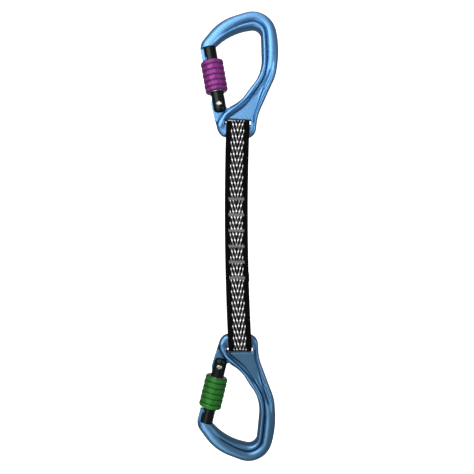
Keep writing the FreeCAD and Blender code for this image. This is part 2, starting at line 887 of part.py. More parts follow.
def main():
    """Build every sub-part, check it and write its STEP file."""
    parts = []
    for which in ("top", "bottom"):
        builders = (
            build_frame,
            build_gate,
            build_sleeve,
            build_ring,
            build_rivet,
            build_plunger,
            build_spring,
        )
        parts += [build(which) for build in builders]
    parts.append(build_tape())
    parts += [build_tack(number) for number in range(1, TACKS + 1)]
    doc.recompute()
    os.makedirs("parts", exist_ok=True)
    for part in parts:
        check(part)
        part.Shape.exportStep("parts/%s.step" % part.Label)
        print("%-26s %9.1f mm3" % (part.Label, part.Shape.Volume))


main()
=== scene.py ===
import enum
import logging
import math
from dataclasses import dataclass, replace
from typing import Callable, Sequence

import bmesh
import bpy
import numpy as np
from mathutils import Matrix


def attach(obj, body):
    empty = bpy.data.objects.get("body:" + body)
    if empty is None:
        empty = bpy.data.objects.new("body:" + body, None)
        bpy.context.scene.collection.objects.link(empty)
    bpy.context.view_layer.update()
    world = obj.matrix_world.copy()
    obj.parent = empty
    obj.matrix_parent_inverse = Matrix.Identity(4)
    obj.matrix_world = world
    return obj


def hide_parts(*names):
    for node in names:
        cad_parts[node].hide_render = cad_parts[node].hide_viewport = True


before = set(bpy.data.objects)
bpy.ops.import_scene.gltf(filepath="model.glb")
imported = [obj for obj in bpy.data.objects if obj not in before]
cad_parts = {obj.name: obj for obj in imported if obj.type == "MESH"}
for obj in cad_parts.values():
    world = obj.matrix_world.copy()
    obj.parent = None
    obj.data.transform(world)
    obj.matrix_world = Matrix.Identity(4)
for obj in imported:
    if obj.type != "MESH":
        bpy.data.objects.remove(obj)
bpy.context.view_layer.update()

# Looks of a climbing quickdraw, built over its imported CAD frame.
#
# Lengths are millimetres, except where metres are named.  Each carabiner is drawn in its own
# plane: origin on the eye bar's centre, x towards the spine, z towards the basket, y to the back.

log = logging.getLogger("quickdraw")
MM = 0.001
TACKS = 6
CHAIN_STEP = 0.3

Corners = tuple[tuple[float, ...], ...]
Colour = tuple[float, float, float]
Finishes = dict[str, bpy.types.Material]


# ---------------------------------------------------------------- surfaces


class Which(enum.Enum):
    """The two carabiners."""

    TOP = "top"
    BOTTOM = "bottom"


@dataclass(frozen=True)
class Placement:
    """Where a carabiner's plane lies: eye centre, clockwise tilt, and whether it is turned over."""

    eye_x: float
    eye_z: float
    tilt: float
    turned: bool

    def to_row(self, points: np.ndarray) -> np.ndarray:
        """Carry points from the carabiner's frame to the row frame.

        x' = ex + x cos t + s z sin t, y' = s y, z' = ez - x sin t + s z cos t, where t is the
        tilt and s is -1 for a carabiner that hangs turned over about x.

        Args:
            points: n by 3, millimetres.
        Returns:
            n by 3, millimetres in the row frame.
        """
        t = math.radians(self.tilt)
        s = -1.0 if self.turned else 1.0
        x, y, z = points[:, 0], s * points[:, 1], s * points[:, 2]
        across = self.eye_x + x * math.cos(t) + z * math.sin(t)
        up = self.eye_z - x * math.sin(t) + z * math.cos(t)
        return np.column_stack([across, y, up])

    def from_row(self, points: np.ndarray) -> np.ndarray:
        """Carry points back from the row frame; the inverse of to_row.

        Args:
            points: n by 3, millimetres in the row frame.
        Returns:
            n by 3, millimetres in the carabiner's frame.
        """
        t = math.radians(self.tilt)
        s = -1.0 if self.turned else 1.0
        dx, dz = points[:, 0] - self.eye_x, points[:, 2] - self.eye_z
        x = dx * math.cos(t) - dz * math.sin(t)
        z = dx * math.sin(t) + dz * math.cos(t)
        return np.column_stack([x, s * points[:, 1], s * z])


PLACES = {
    Which.TOP: Placement(-10.75, -78.9, 3.5, False),
    Which.BOTTOM: Placement(-9.1, -242.35, 0.2, True),
}
SLEEVE_SHIFTS = {Which.TOP: 0.0, Which.BOTTOM: -1.3}
FRAME_SLOTS = {Which.TOP: "blue_anodised", Which.BOTTOM: "steel_blue_anodised"}
SLEEVE_SLOTS = {Which.TOP: "purple_anodised", Which.BOTTOM: "green_anodised"}


@dataclass(frozen=True)
class Surface:
    """A mesh as arrays: points in millimetres, faces, and optional uv and depth per point; the
    depth weights the shade painted into grooves.
    """

    points: np.ndarray
    faces: list[np.ndarray]
    uv: np.ndarray | None = None
    depth: np.ndarray | None = None

    def placed(self, move: Callable[[np.ndarray], np.ndarray]) -> "Surface":
        """The same surface with its points carried elsewhere.

        Args:
            move: takes and gives n by 3 points.
        Returns:
            The moved surface.
        """
        return replace(self, points=move(self.points))


def joined(surfaces: Sequence[Surface]) -> Surface:
    """Put several plain surfaces in one.

    Args:
        surfaces: the surfaces.
    Returns:
        One surface with every face.
    """
    starts = np.cumsum([0] + [len(s.points) for s in surfaces])
    faces = [f + start for s, start in zip(surfaces, starts) for f in s.faces]
    return Surface(np.concatenate([s.points for s in surfaces]), faces)


def tube_faces(rows: int, loop: int, closed: bool = False) -> np.ndarray:
    """Quads between neighbouring rows of closed loops.

    Corner k of row i is point i * loop + k; the quad joins rows i and i + 1 at k and k + 1,
    both counted round.

    Args:
        rows: number of rows.
        loop: points in each row.
        closed: join the last row to the first too.
    Returns:
        m by 4 indices.
    """
    i, k = np.meshgrid(np.arange(rows if closed else rows - 1), np.arange(loop), indexing="ij")
    j, n = (i + 1) % rows, (k + 1) % loop
    quads = np.stack([i * loop + k, j * loop + k, j * loop + n, i * loop + n], axis=-1)
    return quads.reshape(-1, 4)


def swept(rows: np.ndarray, closed: bool = False) -> Surface:
    """A closed tube through rows of loops, each end closed by a fan to its centre.

    Args:
        rows: r by n by 3 points.
        closed: join the last row to the first instead of closing the ends.
    Returns:
        The surface.
    """
    count, loop, _ = rows.shape
    points = rows.reshape(-1, 3)
    faces = [tube_faces(count, loop, closed)]
    if not closed:
        ends = np.array([rows[0].mean(axis=0), rows[-1].mean(axis=0)])
        base = len(points)
        points = np.concatenate([points, ends])
        k = np.arange(loop)
        n = (k + 1) % loop
        last = (count - 1) * loop
        faces.append(np.column_stack([k, n, np.full(loop, base)]))
        faces.append(np.column_stack([last + n, last + k, np.full(loop, base + 1)]))
    return Surface(points, faces)


def lathe(profile: np.ndarray, turns: int, ripple: Callable) -> Surface:
    """A closed profile turned about the z axis.

    x = r cos a, y = r sin a, z = h, for a over a full turn; r gains a ripple g(a, h, r).

    Args:
        profile: n by 2 of radius and height, in a closed ring.
        turns: points round.
        ripple: the ripple.
    Returns:
        The surface.
    """
    angle = np.linspace(0.0, 2.0 * math.pi, turns, endpoint=False)[:, None]
    radius, height = profile[None, :, 0], profile[None, :, 1]
    radius = radius + ripple(angle, height, radius)
    rows = np.stack(
        [radius * np.cos(angle), radius * np.sin(angle), height + 0.0 * angle], axis=-1
    )
    return swept(rows, closed=True)


def resampled(points: np.ndarray, step: float) -> np.ndarray:
    """Points at an even spacing along a line.

    Args:
        points: n by d.
        step: the spacing wanted.
    Returns:
        m by d.
    """
    run = np.concatenate([[0.0], np.cumsum(np.linalg.norm(np.diff(points, axis=0), axis=1))])
    at = np.linspace(0.0, run[-1], max(2, int(run[-1] / step) + 1))
    return np.column_stack([np.interp(at, run, points[:, d]) for d in range(points.shape[1])])


def rounded_chain(corners: Corners) -> np.ndarray:
    """Straight runs joined by tangent arcs.

    At a corner with half angle h between its runs, the arc of radius r starts and ends at
    r / tan h from the corner, about a centre at r / sin h along the bisector.

    Args:
        corners: x, z and radius of each; the two ends stay plain.
    Returns:
        n by 2 points.
    """
    place = np.array([c[:2] for c in corners])
    pieces = [place[:1]]
    for i in range(1, len(corners) - 1):
        here, radius = place[i], corners[i][2]
        to_before = (place[i - 1] - here) / np.linalg.norm(place[i - 1] - here)
        to_after = (place[i + 1] - here) / np.linalg.norm(place[i + 1] - here)
        half = math.acos(float(np.clip(to_before @ to_after, -1.0, 1.0))) / 2.0
        bisector = (to_before + to_after) / np.linalg.norm(to_before + to_after)
        centre = here + bisector * radius / math.sin(half)
        first = here + to_before * radius / math.tan(half) - centre
        last = here + to_after * radius / math.tan(half) - centre
        sweep = math.atan2(first[0] * last[1] - first[1] * last[0], float(first @ last))
        turn = np.linspace(0.0, sweep, 25)
        across = first[0] * np.cos(turn) - first[1] * np.sin(turn)
        up = first[0] * np.sin(turn) + first[1] * np.cos(turn)
        pieces.append(centre + np.column_stack([across, up]))
    pieces.append(place[-1:])
    return resampled(np.concatenate(pieces), CHAIN_STEP)


def eased(values: np.ndarray, width: int) -> np.ndarray:
    """A moving average along the first axis with the ends held.

    Args:
        values: n or n by d.
        width: points averaged on each side.
    Returns:
        The same shape.
    """
    table = values.reshape(len(values), -1)
    kernel = np.ones(2 * width + 1) / (2 * width + 1)
    padded = np.pad(table, ((width, width), (0, 0)), mode="reflect", reflect_type="odd")
    out = [np.convolve(padded[:, d], kernel, mode="valid") for d in range(table.shape[1])]
    return np.column_stack(out).reshape(values.shape)


def relaxed(points: np.ndarray, edges: np.ndarray, weight: np.ndarray, rounds: int) -> np.ndarray:
    """Points drawn towards the mean of their neighbours, each by its weight, again and again.

    Args:
        points: n by 3.
        edges: m by 2 indices.
        weight: n values in 0..1.
        rounds: how often.
    Returns:
        n by 3.
    """
    ends = np.concatenate([edges, edges[:, ::-1]])
    share = np.bincount(ends[:, 0], minlength=len(points))[:, None]
    for _ in range(rounds):
        total = [np.bincount(ends[:, 0], points[ends[:, 1], d], len(points)) for d in range(3)]
        points = points + weight[:, None] * (np.column_stack(total) / share - points)
    return points


def ramp(x: np.ndarray, low: float, high: float) -> np.ndarray:
    """Smooth step: t t (3 - 2 t) with t = (x - low) / (high - low) held in 0..1.

    Args:
        x: places.
        low: where the step starts.
        high: where it ends.
    Returns:
        Values in 0..1.
    """
    t = np.clip((x - low) / (high - low), 0.0, 1.0)
    return t * t * (3.0 - 2.0 * t)


# ---------------------------------------------------------------- Blender objects


def to_object(name: str, surface: Surface) -> bpy.types.Object:
    """Make a smoothly shaded mesh object from arrays, in metres.

    Args:
        name: the object's name.
        surface: the surface in the row frame.
    Returns:
        The object, linked.
    """
    mesh = bpy.data.meshes.new(name)
    corners = np.concatenate([f.reshape(-1) for f in surface.faces]).astype(np.int32)
    totals = np.concatenate([np.full(len(f), f.shape[1]) for f in surface.faces]).astype(np.int32)
    mesh.vertices.add(len(surface.points))
    mesh.vertices.foreach_set("co", (surface.points * MM).astype(np.float32).reshape(-1))
    mesh.loops.add(len(corners))
    mesh.loops.foreach_set("vertex_index", corners)
    mesh.polygons.add(len(totals))
    starts = np.concatenate([[0], np.cumsum(totals)[:-1]]).astype(np.int32)
    mesh.polygons.foreach_set("loop_start", starts)
    mesh.polygons.foreach_set("use_smooth", np.full(len(totals), True))
    mesh.update(calc_edges=True)
    mesh.validate()
    if surface.uv is not None:
        layer = mesh.uv_layers.new(name="UVMap")
        layer.data.foreach_set("uv", surface.uv[corners].astype(np.float32).reshape(-1))
    # the depth is stored as the per-point weight of the shade painted into grooves
    if surface.depth is not None:
        layer = mesh.attributes.new("painted_groove_shade", "FLOAT", "POINT")
        layer.data.foreach_set("value", surface.depth.astype(np.float32))
    outward(mesh)
    thing = bpy.data.objects.new(name, mesh)
    bpy.context.scene.collection.objects.link(thing)
    return thing


def outward(mesh: bpy.types.Mesh) -> None:
    """Turn every face of closed shells outwards.

    Args:
        mesh: the mesh, changed in place.
    """
    work = bmesh.new()
    work.from_mesh(mesh)
    bmesh.ops.recalc_face_normals(work, faces=work.faces[:])
    work.to_mesh(mesh)
    work.free()


def applied(thing: bpy.types.Object) -> None:
    """Bake an object's modifiers into its mesh.

    Args:
        thing: the object, changed in place.
    """
    shown = thing.evaluated_get(bpy.context.evaluated_depsgraph_get())
    mesh = bpy.data.meshes.new_from_object(shown)
    thing.modifiers.clear()
    thing.data = mesh


def vertices_of(mesh: bpy.types.Mesh) -> np.ndarray:
    """The vertices of a mesh, n by 3.

    Args:
        mesh: the mesh.
    Returns:
        Coordinates in the mesh's own unit.
    """
    flat = np.empty(len(mesh.vertices) * 3)
    mesh.vertices.foreach_get("co", flat)
    return flat.reshape(-1, 3)


def corners_of(mesh: bpy.types.Mesh, sides: int) -> np.ndarray:
    """The faces of a mesh whose faces all have the same number of sides.

    Args:
        mesh: the mesh.
        sides: corners of each face.
    Returns:
        m by sides indices.
    """
    flat = np.empty(len(mesh.loops), dtype=np.int32)
    mesh.loops.foreach_get("vertex_index", flat)
    return flat.reshape(-1, sides)


def finish_piece(
    thing: bpy.types.Object, body: str, node: str, slot: str, finishes: Finishes
) -> None:
    """Give a piece its slot's finish, attach it to the body it rides on, and hide the CAD node it
    stands for.

    Args:
        thing: the piece.
        body: the CAD body it moves with.
        node: the CAD node it stands for.
        slot: the record's material slot.
        finishes: the finish of every slot.
    """
    thing.data.materials.clear()
    thing.data.materials.append(finishes[slot])
    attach(thing, body)
    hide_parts(node)
    log.info("%s: %d faces", thing.name, len(thing.data.polygons))


# ---------------------------------------------------------------- materials


class Graph:
    """A small helper for building a node material."""

    def __init__(self, name: str) -> None:
        self.material = bpy.data.materials.new(name + "_finish")
        self.material.use_nodes = True
        self.tree = self.material.node_tree
        self.shader = self.tree.nodes["Principled BSDF"]

    def node(self, kind: str, **settings: object) -> bpy.types.Node:
        """Add a node.

        Args:
            kind: its type.
            settings: values for its properties and, where no property has the name, its inputs.
        Returns:
            The node.
        """
        made = self.tree.nodes.new(kind)
        for key, value in settings.items():
            if key in made.bl_rna.properties:
                setattr(made, key, value)
            else:
                made.inputs[key.replace("_", " ")].default_value = value
        return made

    def wire(self, source: bpy.types.NodeSocket, target: bpy.types.NodeSocket) -> None:
        """Join two sockets."""
        self.tree.links.new(source, target)

    def math(self, operation: str, *values: object) -> bpy.types.NodeSocket:
        """A math node over sockets or numbers; returns its output."""
        made = self.node("ShaderNodeMath", operation=operation)
        for i, value in enumerate(values):
            if isinstance(value, bpy.types.NodeSocket):
                self.wire(value, made.inputs[i])
            else:
                made.inputs[i].default_value = float(value)
        return made.outputs[0]

    def blend(
        self, factor: bpy.types.NodeSocket, low: object, high: object
    ) -> bpy.types.NodeSocket:
        """A mix of two colours, or sockets, by a factor; returns its output."""
        made = self.node("ShaderNodeMix", data_type="RGBA")
        self.wire(factor, made.inputs["Factor"])
        for index, value in ((6, low), (7, high)):
            if isinstance(value, bpy.types.NodeSocket):
                self.wire(value, made.inputs[index])
            else:
                made.inputs[index].default_value = (*value, 1.0)
        return made.outputs[2]

    def noise(self, scale: float, detail: float = 3.0) -> bpy.types.NodeSocket:
        """Noise over object coordinates.

        Args:
            scale: waves to the metre.
            detail: finer layers.
        Returns:
            Its output in 0..1.
        """
        where = self.node("ShaderNodeTexCoord")
        made = self.node("ShaderNodeTexNoise", Scale=scale, Detail=detail)
        self.wire(where.outputs["Object"], made.inputs["Vector"])
        return made.outputs["Fac"]

    def relief(self, height: bpy.types.NodeSocket, strength: float, distance: float) -> None:
        """Drive the shader's normal by a height.

        Args:
            height: the height.
            strength: how strongly, 0..1.
            distance: the height that 1 stands for, metres.
        """
        made = self.node("ShaderNodeBump", Strength=strength, Distance=distance)
        self.wire(height, made.inputs["Height"])
        self.wire(made.outputs["Normal"], self.shader.inputs["Normal"])


def linear(red: int, green: int, blue: int) -> Colour:
    """A display colour of 0 to 255 as linear light: ((c + 0.055) / 1.055) ** 2.4 above the toe."""
    share = [c / 255.0 for c in (red, green, blue)]
    return tuple(c / 12.92 if c < 0.04045 else ((c + 0.055) / 1.055) ** 2.4 for c in share)


@dataclass(frozen=True)
class MetalFinish:
    """Anodised or plain metal: its colour, a cloudy tint, a colour of painted shade for its
    grooves, its polish.
    """

    name: str
    colour: Colour
    tint: Colour
    painted_groove_shade: Colour | None
    roughness: float
    metallic: float
    grain: float = 0.05
    cloud_scale: float = 60.0
    grain_scale: float = 2500.0
    roughness_spread: float = 0.12

    def build(self) -> bpy.types.Material:
        """Make the material."""
        graph = Graph(self.name)
        cloud = graph.noise(self.cloud_scale)
        colour = graph.blend(cloud, self.colour, self.tint)
        # painted shade: the colour is drawn towards a darker one where the per-point weight marks a
        # groove
        if self.painted_groove_shade is not None:
            depth = graph.node("ShaderNodeAttribute", attribute_name="painted_groove_shade")
            colour = graph.blend(depth.outputs["Fac"], colour, self.painted_groove_shade)
        graph.wire(colour, graph.shader.inputs["Base Color"])
        graph.shader.inputs["Metallic"].default_value = self.metallic
        fine = graph.noise(self.grain_scale, 2.0)
        spread = self.roughness_spread
        rough = graph.math("MULTIPLY_ADD", cloud, spread, self.roughness - spread / 2)
        graph.wire(rough, graph.shader.inputs["Roughness"])
        graph.relief(fine, self.grain, 0.0001)
        return graph.material


@dataclass(frozen=True)
class TapeFinish:
    """Black tape with a white tracer of nested V strands down its middle."""

    name: str = "tape"
    period: float = 8.84
    strand_step: float = 2.41
    half_width: float = 4.9
    edge: float = 0.16
    rib: float = 0.55
    wale: float = 0.7
    black: Colour = linear(6, 6, 7)
    white: Colour = linear(250, 250, 250)

    def build(self) -> bpy.types.Material:
        """Make the material.

        With a = |u| across and v along, both in millimetres, a strand runs where
        v / period + a / step is whole.  It is widest and brightest at each whole v / period.
        """
        graph = Graph(self.name)
        where = graph.node("ShaderNodeUVMap", uv_map="UVMap")
        split = graph.node("ShaderNodeSeparateXYZ")
        graph.wire(where.outputs["UV"], split.inputs[0])
        across, along = split.outputs["X"], split.outputs["Y"]
        side = graph.math("ABSOLUTE", across)

        lift = graph.math("DIVIDE", along, self.period)
        beat = graph.math("PINGPONG", graph.math("MULTIPLY", lift, 2.0), 0.5)
        node = graph.math("SUBTRACT", 1.0, graph.math("MULTIPLY", beat, 2.0))

        def strand(sign: float, shift: float, width: object) -> bpy.types.NodeSocket:
            """How much of one family of strands covers a place.

            Args:
                sign: which way they slant.
                shift: their place in the period.
                width: their half width, a number or a socket.
            Returns:
                An output in 0..1.
            """
            slant = graph.math("MULTIPLY_ADD", side, sign / self.strand_step, shift)
            away = graph.math("PINGPONG", graph.math("ADD", lift, slant), 0.5)
            reach = graph.math("MULTIPLY", away, self.strand_step)
            inward = graph.math("DIVIDE", graph.math("SUBTRACT", width, reach), self.edge)
            return graph.math("MINIMUM", graph.math("MAXIMUM", inward, 0.0), 1.0)

        inside = graph.math("LESS_THAN", side, self.half_width)
        knot = graph.math("POWER", node, 2.5)
        main = strand(1.0, 0.0, graph.math("MULTIPLY_ADD", knot, 0.55, 0.14))
        bright = graph.math("MULTIPLY_ADD", knot, 0.4, 0.8)
        cross = graph.math("MULTIPLY", strand(-1.0, 0.0, 0.14), 0.14)
        white = graph.math("MAXIMUM", graph.math("MULTIPLY", main, bright), cross)
        white = graph.math("MINIMUM", graph.math("MULTIPLY", white, inside), 1.0)
        graph.wire(
            graph.blend(white, self.black, self.white), graph.shader.inputs["Base Color"]
        )
        graph.shader.inputs["Roughness"].default_value = 0.85
        graph.shader.inputs["Specular IOR Level"].default_value = 0.04
        rib = graph.math("SINE", graph.math("MULTIPLY", along, 2.0 * math.pi / self.rib))
        wale = graph.math("SINE", graph.math("MULTIPLY", across, 2.0 * math.pi / self.wale))
        weave = graph.math("MULTIPLY_ADD", rib, wale, white)
        graph.relief(weave, 0.5, 0.00015)
        return graph.material


@dataclass(frozen=True)
class ThreadFinish:
    """Matt sewing thread."""

    name: str
    colour: Colour

    def build(self) -> bpy.types.Material:
        """Make the material."""
        graph = Graph(self.name)
        shade = tuple(0.55 * c for c in self.colour)
        graph.wire(
            graph.blend(graph.noise(900.0), shade, self.colour), graph.shader.inputs["Base Color"]
        )
        graph.shader.inputs["Roughness"].default_value = 0.8
        return graph.material


# ---------------------------------------------------------------- carabiner frame


@dataclass(frozen=True)
class ForgedFrame:
    """The forged body: a two-lobed bar from the nose round to the spine, then the eye."""

    inner: Corners = (
        (-21.3, 64.3, 0.0),
        (-9.0, 76.0, 42.0),
        (12.8, 80.9, 6.5),
        (16.1, 46.5, 31.0),
        (1.0, 22.9, 33.0),
        (-7.0, 18.3, 0.0),
    )
    outer: Corners = (
        (-33.0, 61.5, 0.0),
        (-32.8, 66.7, 10.0),
        (-19.3, 85.1, 39.0),
        (19.8, 99.4, 19.0),
        (28.6, 67.2, 73.0),
        (27.2, 45.3, 35.0),
        (14.8, 13.3, 41.0),
        (13.9, -4.5, 0.0),
    )
    # matching places on the inner and outer edge, the bead's width and the valley's height there
    rungs: tuple = (
        ((-21.3, 64.3), (-33.0, 61.5), 3.6, 4.72),
        ((-14.5, 70.8), (-27.0, 76.5), 3.4, 4.6),
        ((-7.5, 75.3), (-16.0, 86.6), 3.6, 4.0),
        ((2.5, 78.6), (-1.0, 91.9), 5.2, 3.3),
        ((9.0, 79.2), (12.0, 95.4), 5.7, 3.1),
        ((12.6, 76.6), (22.5, 88.0), 5.4, 3.0),
        ((13.9, 68.0), (27.0, 73.0), 4.9, 3.0),
        ((14.8, 57.0), (27.9, 58.0), 4.6, 3.0),
        ((13.9, 46.5), (26.2, 44.0), 4.6, 3.0),
        ((10.0, 38.0), (22.6, 34.0), 4.7, 2.55),
        ((6.0, 31.5), (19.5, 26.0), 4.7, 2.3),
    )
    tongue: Corners = (
        (-30.4, 52.1),
        (-32.9, 61.8),
        (-30.0, 67.0),
        (-24.0, 67.0),
        (-24.6, 62.6),
        (-22.6, 54.1),
    )
    tongue_half: float = 1.75
    # the keylock head, in the gate's frame
    head: Corners = ((-4.4, 34.9), (-4.4, 37.5), (1.6, 37.5), (1.6, 34.9))
    head_half: float = 3.2
    # the section: heights from the middle plane, and the power of the outer lobe's curve
    nose_bead_height: float = 4.78
    bead_height: float = 5.15
    lobe_height: float = 4.75
    ridge_height: float = 4.15
    lobe_power: float = 2.4
    stations: int = 260
    # the shallow grooves on the faces, along which shade is painted, and how far that painted shade
    # reaches
    crease_tail: Corners = ((5.8, 24.6), (-3.9, 15.5), (-8.6, 10.9), (-10.4, 7.0))
    hinge_crease: Corners = ((-9.6, 16.2), (-13.8, 10.6), (-15.6, 7.2), (-16.1, 3.6))
    web_edge: Corners = ((22.0, 48.0), (11.9, 13.0), (11.6, 6.5))
    crease_reach: float = 0.85
    # where the bar gives way to the eye, a point and a direction in x and z
    cut_at: tuple[float, float] = (15.0, 33.8)
    cut_normal: tuple[float, float] = (0.326, 0.945)
    voxel: float = 0.36
    skin_rounds: int = 4
    # how strongly and how far the join and the eye's wall are softened
    seam_pull: float = 0.6
    seam_offset: float = 1.0
    seam_reach: float = 7.0
    wall_pull: float = 0.5
    soften_rounds: int = 40

    def groove_shade_weights(self, points: np.ndarray, crease: np.ndarray) -> np.ndarray:
        """How much painted groove shade each point gets: exp(-(d / reach) ** 2), d from the
        grooves.

        Args:
            points: n by 3.
            crease: the valley's line on the bar, m by 2.
        Returns:
            n values in 0..1, fading in from the nose.
        """
        pieces = 40
        tail = np.concatenate([crease[-1:], np.array(self.crease_tail)])
        lines = (tail, self.hinge_crease, self.web_edge)
        extra = [resampled(np.array(c), CHAIN_STEP) for c in lines]
        line = np.concatenate([crease, *extra])
        flat = points[:, [0, 2]]
        away = np.full(len(points), np.inf)
        for part in np.array_split(line, pieces):
            gap = np.linalg.norm(flat[:, None, :] - part[None, :, :], axis=2).min(axis=1)
            away = np.minimum(away, gap)
        fade = ramp(flat[:, 0] + 0.25 * flat[:, 1], -4.0, 6.0)
        low_part = ramp(-flat[:, 1], -50.0, -40.0)
        return np.exp(-((away / self.crease_reach) ** 2)) * np.maximum(fade, low_part)

    def bar(self) -> tuple[Surface, np.ndarray]:
        """The two-lobed bar, and its valley's line.

        At a station with inner point I, outer point O and width W = |O - I|, the front face is
        the bead u = a (1 - cos f), y = H sin f up to the valley, then the outer lobe
        y = L sqrt(1 - |s| ** p), where s runs to 1 at the outer edge.  Towards the eye the lobe
        gives way to a flat web with a narrow ridge.  The back mirrors the front.

        Returns:
            The bar's surface, and the valley's line as n by 2.
        """
        inner, outer = rounded_chain(self.inner), rounded_chain(self.outer)
        ease = 9
        knots = np.linspace(0.0, 1.0, len(self.rungs))
        at = np.linspace(0.0, 1.0, self.stations)

        def along(line: np.ndarray, marks: np.ndarray) -> np.ndarray:
            """Points of a line at the stations.

            Args:
                line: the whole line.
                marks: the places on it that the knots stand for.
            Returns:
                One point for each station.
            """
            nearest = [int(np.argmin(np.linalg.norm(line - m, axis=1))) for m in marks]
            index = eased(np.interp(at, knots, nearest), ease)
            whole = np.arange(len(line))
            return np.column_stack([np.interp(index, whole, line[:, d]) for d in (0, 1)])

        low = along(inner, np.array([r[0] for r in self.rungs]))
        high = along(outer, np.array([r[1] for r in self.rungs]))
        bead = eased(np.interp(at, knots, [r[2] for r in self.rungs]), ease)[:, None]
        valley = eased(np.interp(at, knots, [r[3] for r in self.rungs]), ease)[:, None]
        # the last stations draw in, so that the bar's end lies inside the eye's plate
        sink, draw_in = ramp(at, 0.95, 1.0)[:, None], 0.7
        run = high - low
        width = np.linalg.norm(run, axis=1)[:, None]
        run = run / width
        low = low + run * (draw_in * sink)
        width = width - 2.0 * draw_in * sink
        growth = (self.bead_height - self.nose_bead_height) * ramp(at, 0.05, 0.2)[:, None]
        top = self.nose_bead_height + growth - 0.4 * sink
        rise = valley / top
        turn = np.linspace(0.0, 1.0, 17)[None, :] * (math.pi - np.arcsin(rise))
        half = bead / (1.0 + np.sqrt(1.0 - rise**2))
        square = 1.0 - 0.28 * ramp(at, 0.72, 0.92)[:, None]
        cosine = np.sign(np.cos(turn)) * np.abs(np.cos(turn)) ** square
        bead_u = half * (1.0 - cosine)
        bead_y = top * np.sin(turn) ** square
        lobe = self.lobe_height
        start = (1.0 - (valley / lobe) ** 2) ** (1.0 / self.lobe_power)
        part = np.sin(np.linspace(0.0, 1.0, 24)[None, 1:] * math.pi / 2.0)
        s = -start + (1.0 + start) * part
        lobe_y = lobe * np.sqrt(np.clip(1.0 - np.abs(s) ** self.lobe_power, 0.0, 1.0))
        ridge = valley + (self.ridge_height - valley) * ramp(part, 0.56, 0.66)
        past_ridge = np.clip(part - 0.74, 0, 1) / 0.26
        web_y = ridge * np.sqrt(np.clip(1.0 - past_ridge**2, 0, 1))
        web = ramp(at, 0.66, 0.86)[:, None]
        outer_y = lobe_y * (1.0 - web) + web_y * web
        u = np.concatenate([bead_u, bead + (width - bead) * part], axis=1)
        y = np.concatenate([bead_y, outer_y], axis=1)
        u = np.concatenate([u, u[:, -2:0:-1]], axis=1)
        y = np.concatenate([-y, y[:, -2:0:-1]], axis=1)
        rows = np.stack(
            [low[:, :1] + run[:, :1] * u, y, low[:, 1:] + run[:, 1:] * u], axis=-1
        )
        return swept(rows), (low + run * bead)[8:-14]

    @staticmethod
    def prism(corners: Corners, half: float) -> Surface:
        """A flat prism.

        Args:
            corners: its outline in x and z.
            half: its half thickness in y.
        Returns:
            The surface.
        """
        x, z = np.array(corners).T
        return swept(np.array([np.column_stack([x, np.full(len(x), y), z]) for y in (-half, half)]))

    def eye(self, node: bpy.types.Object, place: Placement) -> Surface:
        """The part below the spine, copied from the CAD node and capped where it is cut.

        Args:
            node: the CAD frame.
            place: where it lies.
        Returns:
            The surface in the carabiner's frame.
        """
        mesh = node.data.copy()
        mesh.vertices.foreach_set("co", place.from_row(vertices_of(mesh) / MM).reshape(-1))
        work = bmesh.new()
        work.from_mesh(mesh)
        bmesh.ops.remove_doubles(work, verts=work.verts[:], dist=1e-4)
        bmesh.ops.bisect_plane(
            work,
            geom=work.verts[:] + work.edges[:] + work.faces[:],
            plane_co=(self.cut_at[0], 0.0, self.cut_at[1]),
            plane_no=(self.cut_normal[0], 0.0, self.cut_normal[1]),
            clear_outer=True,
        )
        rim = [e for e in work.edges if e.is_boundary]
        bmesh.ops.triangle_fill(work, edges=rim, use_beauty=True)
        bmesh.ops.triangulate(work, faces=work.faces[:])
        work.to_mesh(mesh)
        work.free()
        surface = Surface(vertices_of(mesh), [corners_of(mesh, 3)])
        bpy.data.meshes.remove(mesh)
        return surface

    def build(self, node: bpy.types.Object, place: Placement) -> Surface:
        """The whole frame as one skin.

        Args:
            node: the CAD frame that the eye is copied from.
            place: where it lies.
        Returns:
            The surface in the carabiner's frame, with the weight of the shade painted in its
            grooves.
        """
        tongue = self.prism(self.tongue, self.tongue_half)
        head = self.prism(self.head, self.head_half).placed(GateFrame().to_carabiner)
        bar, crease = self.bar()
        shells = joined([bar, self.eye(node, place), tongue, head])
        thing = to_object("frame_shells", shells)
        skin = thing.modifiers.new("skin", "REMESH")
        skin.mode = "VOXEL"
        skin.voxel_size = self.voxel * MM
        soft = thing.modifiers.new("soft", "SMOOTH")
        soft.factor = 0.5
        soft.iterations = self.skin_rounds
        applied(thing)
        mesh = thing.data
        points, quads = vertices_of(mesh) / MM, corners_of(mesh, 4)
        edges = np.empty(len(mesh.edges) * 2, dtype=np.int32)
        mesh.edges.foreach_get("vertices", edges)
        bpy.data.objects.remove(thing)
        across, _, up = points.T
        above = (points[:, [0, 2]] - self.cut_at) @ np.array(self.cut_normal)
        near_cut = np.exp(-(((above + self.seam_offset) / self.seam_reach) ** 2))
        seam = self.seam_pull * near_cut * ramp(across, 8.0, 13.0)
        wall = self.wall_pull * ramp(-up, -10.0, -4.0) * ramp(-across, 8.5, 10.5)
        weight = np.maximum(seam, wall)
        points = relaxed(points, edges.reshape(-1, 2), weight, self.soften_rounds)
        # depth carries the weight of the shade painted along the grooves
        return Surface(points, [quads], depth=self.groove_shade_weights(points, crease))


# ---------------------------------------------------------------- locking sleeve


